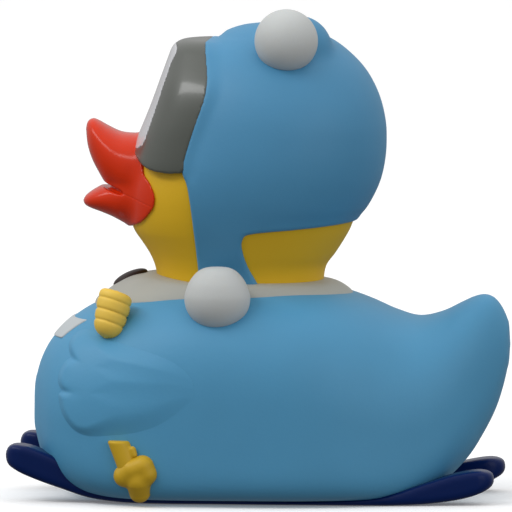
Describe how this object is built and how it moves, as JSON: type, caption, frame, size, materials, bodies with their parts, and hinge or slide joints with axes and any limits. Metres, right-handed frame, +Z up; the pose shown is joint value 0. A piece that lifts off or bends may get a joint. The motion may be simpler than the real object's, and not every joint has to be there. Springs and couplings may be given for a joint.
{
  "type": "floating chlorine dispenser",
  "caption": "Floating spa chlorine dispenser shaped as a skiing duck, with a push-fit tablet cup and a turning vent shutter under the belly.",
  "frame": {"origin": "on the floor plane under the middle of the object, at the flat ski soles", "axes": "+Z up; the duck looks along -X; its left side faces -Y"},
  "size_m": [0.1402, 0.0854, 0.1371],
  "materials": {
    "body_blue": "matte soft vinyl",
    "hood_blue": "matte soft vinyl",
    "skin_yellow": "matte soft vinyl",
    "pompom_white": "matte soft vinyl",
    "bill_red": "glossy sprayed paint",
    "goggle_grey": "semi-gloss sprayed paint",
    "lens_pale": "glossy sprayed paint",
    "collar_white": "matte soft vinyl",
    "toggle_dark": "glossy sprayed paint",
    "bib_white": "matte sprayed paint",
    "pole_yellow": "satin sprayed paint",
    "ski_navy": "glossy sprayed paint",
    "chamber_plastic": "moulded polypropylene",
    "shutter_plastic": "moulded polypropylene",
    "seal_rubber": "matte chlorine-proof rubber",
    "ballast_steel": "stainless steel ring"
  },
  "bodies": {
    "duck": {"body_shell": "body_blue", "head_shell": "skin_yellow", "hood": "hood_blue", "top_pompom": "pompom_white", "left_flap_pompom": "pompom_white", "right_flap_pompom": "pompom_white", "upper_bill": "bill_red", "lower_bill": "bill_red", "goggle_frame": "goggle_grey", "goggle_lens": "lens_pale", "neck_collar": "collar_white", "collar_toggle": "toggle_dark", "chest_bib": "bib_white", "left_wing": "body_blue", "left_pole_grip": "pole_yellow", "left_pole_shaft": "pole_yellow", "left_pole_basket": "pole_yellow", "left_ski": "ski_navy", "right_wing": "body_blue", "right_pole_grip": "pole_yellow", "right_pole_shaft": "pole_yellow", "right_pole_basket": "pole_yellow", "right_ski": "ski_navy", "chamber_socket": "chamber_plastic", "socket_gasket": "seal_rubber", "ballast_ring": "ballast_steel"},
    "cup": {"tablet_cup": "chamber_plastic", "cup_seal": "seal_rubber", "shutter_screw": "shutter_plastic"},
    "shutter": {"vent_shutter": "shutter_plastic"}
  },
  "joints": [
    {"name": "cup_slide", "type": "slide", "parent": "duck", "child": "cup", "axis": [0, 0, -1], "range_m": [0, 0.08]},
    {"name": "shutter_turn", "type": "hinge", "parent": "cup", "child": "shutter", "pos_m": [-0.006, 0, 0.005], "axis": [0, 0, 1], "range_deg": [0, 45]}
  ]
}
